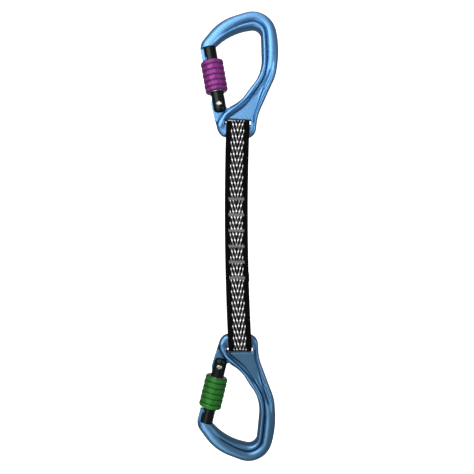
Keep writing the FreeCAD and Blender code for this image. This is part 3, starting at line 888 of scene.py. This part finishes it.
@dataclass(frozen=True)
class LockingSleeve:
    """The turned sleeve, drawn in the gate's frame: z along the gate towards the nose."""

    start: float = 9.9
    length: float = 23.7
    radius: float = 8.85
    bore: float = 5.53
    seat: float = 6.75
    seat_depth: float = 0.5
    nose_bore: float = 7.6
    nose_depth: float = 9.5
    chamfer: float = 1.2
    nose_chamfer: float = 0.7
    grooves: int = 5
    first: float = 3.45
    pitch: float = 4.2
    depth: float = 0.55
    width: float = 2.6
    scallops: int = 14
    scallop_depth: float = 0.2
    around: int = 192

    def build(self) -> Surface:
        """The sleeve's skin.

        The outside is the radius less depth * (0.5 + 0.5 cos(2 pi d / width)) within half a
        groove's width of its middle, d being the distance from it.  Each band between grooves is
        scalloped by depth * cos(n a + shift), with the shift alternating from band to band.

        Returns:
            The surface, with the weight of the shade painted in its grooves.
        """
        end = self.start + self.length
        height = np.linspace(self.start + self.chamfer, end - self.nose_chamfer, 150)
        middles = self.start + self.first + self.pitch * np.arange(self.grooves)
        away = np.abs(height[:, None] - middles[None, :]).min(axis=1)
        dip = np.where(
            away < self.width / 2, 0.5 + 0.5 * np.cos(2 * math.pi * away / self.width), 0.0
        )
        wall = np.column_stack([self.radius - self.depth * dip, height])
        inside = np.array(
            [
                (self.radius - 0.3 * self.nose_chamfer, end - 0.25 * self.nose_chamfer),
                (self.radius - self.nose_chamfer, end),
                (self.nose_bore + 0.15, end),
                (self.nose_bore, end - 0.15),
                (self.nose_bore, end - self.nose_depth),
                (self.bore, end - self.nose_depth),
                (self.bore, self.start + self.seat_depth),
                (self.seat, self.start + self.seat_depth),
                (self.seat, self.start + 0.12),
                (self.seat + 0.12, self.start),
                (self.radius - self.chamfer, self.start),
                (self.radius - 0.85 * self.chamfer, self.start + 0.05),
            ]
        )

        def scallop(angle: np.ndarray, z: np.ndarray, r: np.ndarray) -> np.ndarray:
            """The ripple round each band.

            Args:
                angle: about the axis.
                z: height.
                r: radius before the ripple.
            Returns:
                What to add to the radius.
            """
            band = np.floor((z - middles[0]) / self.pitch)
            shift = math.pi * (band % 2)
            centre = middles[0] + self.pitch * (band + 0.5)
            share = np.clip(1.0 - np.abs(z - centre) / (self.pitch / 2), 0.0, 1.0)
            outside = r > self.radius - 0.05
            wave = np.cos(self.scallops * angle + shift) - 1.0
            return np.where(outside, 0.5 * self.scallop_depth * wave * np.sqrt(share), 0.0)

        skin = lathe(np.concatenate([wall, inside]), self.around, scallop)
        # painted shade: the squared groove dips darken the outside's colour in the grooves
        depth = np.tile(np.concatenate([dip**2, np.zeros(len(inside))]), self.around)
        return replace(skin, depth=depth)


@dataclass(frozen=True)
class GateFrame:
    """The gate's frame within the carabiner's plane."""

    rivet_x: float = -15.7
    rivet_z: float = 19.5
    lean: float = 13.3

    def to_carabiner(self, points: np.ndarray) -> np.ndarray:
        """Carry points from the gate's frame: a turn by the lean about y, then to the rivet.

        Args:
            points: n by 3, with z along the gate.
        Returns:
            n by 3 in the carabiner's frame.
        """
        t = math.radians(self.lean)
        x, y, z = points.T
        across = self.rivet_x + x * math.cos(t) - z * math.sin(t)
        up = self.rivet_z + x * math.sin(t) + z * math.cos(t)
        return np.column_stack([across, y, up])


# ---------------------------------------------------------------- sling


@dataclass(frozen=True)
class Sling:
    """One length of tape, wound through three layers and sewn: its route and its section."""

    width: float = 18.0
    thickness: float = 2.1
    layer: float = 2.2
    top_eye: float = -78.9
    bottom_eye: float = -242.35
    fold: float = 7.2
    sewn_top: float = -129.5
    sewn_bottom: float = -196.5
    centre_marks: Corners = ((-10.4, -68.9), (-11.75, -160.6), (-8.6, -252.35))
    across: int = 41
    step: float = 0.55
    edge_power: float = 14.0
    # the tape's inner end shows a little to one side of the layers over it
    end_shift: float = 0.45

    def centre(self, height: np.ndarray) -> np.ndarray:
        """Across position of the tape's middle, on a parabola through its marks.

        Args:
            height: heights in the row frame.
        Returns:
            Across positions.
        """
        x, z = np.array(self.centre_marks).T
        return np.polyval(np.polyfit(z, x, 2), height)

    def leg(self, eye: float, foot: tuple[float, float], side: float) -> tuple[float, float]:
        """Where a straight leg touches the fold's circle.

        Args:
            eye: the height of the bar.
            foot: y and z of the leg's other end.
            side: which tangent, 1 or -1.
        Returns:
            y and z of the touching place.
        """
        dy, dz = foot[0], foot[1] - eye
        swing = math.acos(self.fold / math.hypot(dy, dz))
        heading = math.atan2(dz, dy) + side * swing
        return self.fold * math.cos(heading), eye + self.fold * math.sin(heading)

    def fold_arc(
        self, eye: float, first: tuple[float, float], last: tuple[float, float]
    ) -> np.ndarray:
        """The arc round a bar, anticlockwise from one touching place to another.

        Args:
            eye: the height of the bar.
            first: y and z where it starts.
            last: y and z where it ends.
        Returns:
            n by 2 points.
        """
        a = math.atan2(first[1] - eye, first[0])
        b = math.atan2(last[1] - eye, last[0])
        if b < a:
            b += 2 * math.pi
        turn = np.linspace(a, b, 40)
        return np.column_stack([self.fold * np.cos(turn), eye + self.fold * np.sin(turn)])

    def route(self) -> np.ndarray:
        """The tape's middle line seen from the side, from its inner to its outer end.

        Returns:
            n by 2 of y and z.
        """
        back_up = self.leg(self.top_eye, (0.0, self.sewn_top), 1.0)
        front_up = self.leg(self.top_eye, (-self.layer, self.sewn_top), -1.0)
        front_down = self.leg(self.bottom_eye, (-self.layer, self.sewn_bottom), 1.0)
        back_down = self.leg(self.bottom_eye, (self.layer, self.sewn_bottom), -1.0)
        short = 0.2
        pieces = [
            [(0.0, self.sewn_bottom + short), (0.0, self.sewn_top)],
            self.fold_arc(self.top_eye, back_up, front_up),
            [(-self.layer, self.sewn_top), (-self.layer, self.sewn_bottom)],
            self.fold_arc(self.bottom_eye, front_down, back_down),
            [(self.layer, self.sewn_bottom), (self.layer, self.sewn_top + short)],
        ]
        line = resampled(np.concatenate([np.array(p) for p in pieces]), self.step)
        return eased(line, 3)

    def build(self) -> Surface:
        """The tape's skin, with uv of millimetres across and along.

        The section is a flat ellipse-edged slab: half thickness h (1 - |2 u / w| ** p) ** 0.5,
        with a fuller selvedge, carried along the route on the route's normal.

        Returns:
            The surface in the row frame.
        """
        line = self.route()
        tangent = np.gradient(line, axis=0)
        tangent /= np.linalg.norm(tangent, axis=1)[:, None]
        normal = np.column_stack([-tangent[:, 1], tangent[:, 0]])
        run = np.concatenate([[0.0], np.cumsum(np.linalg.norm(np.diff(line, axis=0), axis=1))])
        part = np.sin(np.linspace(-math.pi / 2, math.pi / 2, self.across))
        u = part * self.width / 2
        edge = np.sqrt(np.clip(1.0 - np.abs(part) ** self.edge_power, 0.0, 1.0))
        half = self.thickness / 2 * edge * (0.93 + 0.07 * ramp(np.abs(part), 0.8, 0.9))
        loop_u = np.concatenate([u, u[-2:0:-1]])
        loop_h = np.concatenate([half, -half[-2:0:-1]])
        x = self.centre(line[:, 1])[:, None] + loop_u[None, :]
        x = x + self.end_shift * ramp(-run, -9.0, -5.0)[:, None]
        y = line[:, :1] + normal[:, :1] * loop_h
        z = line[:, 1:] + normal[:, 1:] * loop_h
        surface = swept(np.stack([x, y, z], axis=-1))
        along = np.broadcast_to(run[:, None], x.shape)
        uv = np.stack([np.broadcast_to(loop_u, x.shape), along], axis=-1)
        # the caps' middles take a place outside the pattern
        ends = np.array([[self.width / 2, run[0]], [self.width / 2, run[-1]]])
        return replace(surface, uv=np.concatenate([uv.reshape(-1, 2), ends]))


@dataclass(frozen=True)
class BarTack:
    """Dense zigzag stitching across the tape, on both faces."""

    width: float = 12.0
    tall: float = 2.3
    passes: int = 22
    thread: float = 0.19
    face: float = 3.42
    lift: float = 0.16
    first: float = -132.2
    spacing: float = 12.2

    def zigzag(self, side: float, shift: float) -> Surface:
        """One zigzag of thread: a thin tube along a triangle wave.

        Args:
            side: -1 on the tape's front, 1 on its back.
            shift: where in the wave it starts.
        Returns:
            The surface about the tack's middle.
        """
        count = self.passes * 12
        t = np.linspace(0.0, 1.0, count)
        x = (t - 0.5) * self.width
        wave = 2.0 / math.pi * np.arcsin(np.sin(2 * math.pi * self.passes / 2 * t + shift))
        uneven = 0.95 + 0.3 * np.sin(29.0 * t + 5.0 * shift) + 0.22 * np.sin(71.0 * t)
        z = wave * uneven * self.tall / 2
        y = side * (self.face + self.lift * (1.0 - wave**2))
        line = np.column_stack([x, np.broadcast_to(y, x.shape), z])
        tangent = np.gradient(line, axis=0)
        tangent /= np.linalg.norm(tangent, axis=1)[:, None]
        out = np.array([0.0, 1.0, 0.0])
        across = np.cross(tangent, out)
        across /= np.linalg.norm(across, axis=1)[:, None]
        up = np.cross(across, tangent)
        turn = np.linspace(0.0, 2 * math.pi, 7)[:-1]
        rows = (
            line[:, None, :]
            + self.thread * np.cos(turn)[None, :, None] * across[:, None, :]
            + self.thread * np.sin(turn)[None, :, None] * up[:, None, :]
        )
        return swept(rows)

    def build(self, x: float, z: float) -> Surface:
        """The tack's threads.

        Args:
            x: its place across.
            z: its height.
        Returns:
            The surface in the row frame.
        """
        shells = [self.zigzag(side, shift) for side in (-1.0, 1.0) for shift in (0.0, 1.4)]
        return joined(shells).placed(lambda p: p + np.array([x, 0.0, z]))


# ---------------------------------------------------------------- the scene


# slot, colour, cloudy tint, colour of the shade painted in the grooves, roughness and share of
# metal
METALS = (
    ("blue_anodised", (97, 144, 187), (89, 137, 181), (24, 78, 134), 0.42, 1.0),
    ("steel_blue_anodised", (88, 130, 164), (78, 120, 156), (10, 46, 88), 0.36, 1.0),
    ("purple_anodised", (136, 44, 130), (116, 32, 112), (62, 14, 66), 0.48, 0.5),
    ("green_anodised", (34, 120, 28), (24, 100, 22), (8, 54, 12), 0.48, 0.5),
    ("dark_anodised", (30, 38, 36), (24, 30, 30), None, 0.28, 0.85),
    ("bright_steel", (190, 190, 180), (170, 172, 164), None, 0.3, 1.0),
)


def make_finishes() -> Finishes:
    """Make the finish of every slot."""
    finishes = {}
    for slot, colour, tint, painted_groove_shade, roughness, metallic in METALS:
        # the colour of the painted groove shade, as linear light
        groove = None if painted_groove_shade is None else linear(*painted_groove_shade)
        metal = MetalFinish(slot, linear(*colour), linear(*tint), groove, roughness, metallic)
        finishes[slot] = metal.build()
    finishes["black_webbing"] = TapeFinish().build()
    finishes["grey_thread"] = ThreadFinish("grey_thread", linear(122, 122, 121)).build()
    return finishes


def dress_carabiner(which: Which, skin: Surface, finishes: Finishes) -> None:
    """Put one carabiner's visual pieces over its CAD nodes.

    Args:
        which: the carabiner.
        skin: the frame's skin in the carabiner's frame.
        finishes: the finish of every slot.
    """
    place, name = PLACES[which], which.value
    shift = np.array([0.0, 0.0, SLEEVE_SHIFTS[which]])
    sleeve = LockingSleeve().build().placed(lambda p: GateFrame().to_carabiner(p + shift))
    for label, body, node, surface, slot in (
        ("frame_skin", "carabiner", "carabiner_frame", skin, FRAME_SLOTS[which]),
        ("sleeve_skin", "sleeve", "locking_sleeve", sleeve, SLEEVE_SLOTS[which]),
    ):
        thing = to_object("%s_%s" % (name, label), surface.placed(place.to_row))
        finish_piece(thing, "%s_%s" % (name, body), "%s_%s" % (name, node), slot, finishes)
    for part in ("gate", "sleeve_ring", "hinge_rivet", "spring_plunger", "gate_spring"):
        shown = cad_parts["%s_%s" % (name, part)]
        shown.data.materials.clear()
        metal = "dark_anodised" if part == "gate" else "bright_steel"
        shown.data.materials.append(finishes[metal])


def dress_sling(finishes: Finishes) -> None:
    """Put the tape and its bar tacks over their CAD nodes.

    Args:
        finishes: the finish of every slot.
    """
    sling, tack = Sling(), BarTack()
    tape = to_object("tape_skin", sling.build())
    finish_piece(tape, "sling", "sling_tape", "black_webbing", finishes)
    for i in range(TACKS):
        height = tack.first - tack.spacing * i
        x = float(sling.centre(np.array([height]))[0])
        node = "bar_tack_%d" % (i + 1)
        thing = to_object(node + "_threads", tack.build(x, height))
        finish_piece(thing, "sling", node, "grey_thread", finishes)


@dataclass(frozen=True)
class SoftLight:
    """A square soft light, aimed at the object's middle: metres and watts."""

    name: str
    place: tuple[float, float, float]
    size: float
    power: float

    def build(self, target: tuple[float, float, float]) -> None:
        """Make the light.

        Args:
            target: where it points.
        """
        data = bpy.data.lights.new(self.name, "AREA")
        data.size = self.size
        data.energy = self.power
        lamp = bpy.data.objects.new(self.name, data)
        bpy.context.scene.collection.objects.link(lamp)
        away = np.array(self.place) - np.array(target)
        away = away / np.linalg.norm(away)
        flat = math.hypot(away[0], away[1])
        lamp.location = self.place
        lamp.rotation_euler = (math.atan2(flat, away[2]), 0.0, math.atan2(away[0], -away[1]))


@dataclass(frozen=True)
class Stage:
    """The studio, in metres: a pale floor and surround, soft lights and the camera."""

    surround_radius: float = 3.0
    floor_height: float = -0.4
    floor_half_side: float = 1.5
    sky: float = 0.3
    middle: tuple[float, float, float] = (-0.011, 0.0, -0.16)
    lights: tuple[SoftLight, ...] = (
        SoftLight("key", (-0.7, -1.3, 0.5), 1.4, 25.0),
        SoftLight("fill", (0.9, -0.7, -0.1), 0.5, 3.0),
        SoftLight("low", (-0.5, -0.9, -0.9), 0.7, 4.5),
        SoftLight("crown", (0.0, -0.45, 0.8), 0.7, 2.5),
    )
    viewpoint: tuple[float, float, float] = (-0.0113, -0.385, -0.1615)
    sensor: float = 36.0
    lens: float = 37.49

    def build(self) -> None:
        """Make the studio."""
        self.add_surround()
        world = bpy.data.worlds.new("studio")
        world.use_nodes = True
        sky = world.node_tree.nodes["Background"].inputs
        sky["Color"].default_value = (1.0, 1.0, 1.0, 1.0)
        sky["Strength"].default_value = self.sky
        bpy.context.scene.world = world
        for light in self.lights:
            light.build(self.middle)
        self.add_camera()
        bpy.context.scene.view_settings.view_transform = "Standard"

    def add_surround(self) -> None:
        """The floor and the surround, which only the camera sees."""
        mesh = bpy.data.meshes.new("backdrop")
        work = bmesh.new()
        bmesh.ops.create_icosphere(work, subdivisions=4, radius=self.surround_radius)
        low = Matrix.Translation((0.0, 0.0, self.floor_height))
        half = self.floor_half_side
        bmesh.ops.create_grid(work, x_segments=1, y_segments=1, size=half, matrix=low)
        work.to_mesh(mesh)
        work.free()
        wall = bpy.data.objects.new("backdrop", mesh)
        bpy.context.scene.collection.objects.link(wall)
        graph = Graph("pale_paper")
        paper = graph.blend(graph.noise(2.0), (0.96, 0.96, 0.96), (0.98, 0.98, 0.98))
        graph.wire(paper, graph.shader.inputs["Base Color"])
        graph.shader.inputs["Roughness"].default_value = 1.0
        graph.shader.inputs["Specular IOR Level"].default_value = 0.0
        graph.shader.inputs["Emission Color"].default_value = (1.0, 1.0, 1.0, 1.0)
        graph.shader.inputs["Emission Strength"].default_value = 1.0
        wall.data.materials.append(graph.material)
        wall.visible_diffuse = wall.visible_glossy = wall.visible_shadow = False

    def add_camera(self) -> None:
        """The camera, level and square to the object's front."""
        data = bpy.data.cameras.new("camera")
        data.sensor_width = self.sensor
        data.lens = self.lens
        data.clip_start = 0.01
        eye = bpy.data.objects.new("camera", data)
        eye.location = self.viewpoint
        eye.rotation_euler = (math.pi / 2, 0.0, 0.0)
        bpy.context.scene.collection.objects.link(eye)
        bpy.context.scene.camera = eye


def write_sizes() -> None:
    """Update the view layer."""
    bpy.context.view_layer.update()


def main() -> None:
    """Build every visual piece and the studio."""
    logging.basicConfig(level=logging.INFO, format="%(name)s %(message)s")
    finishes = make_finishes()
    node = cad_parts["top_carabiner_frame"]
    skin = ForgedFrame().build(node, PLACES[Which.TOP])
    for which in Which:
        dress_carabiner(which, skin, finishes)
    dress_sling(finishes)
    Stage().build()
    write_sizes()


if __name__ == "__main__":
    main()
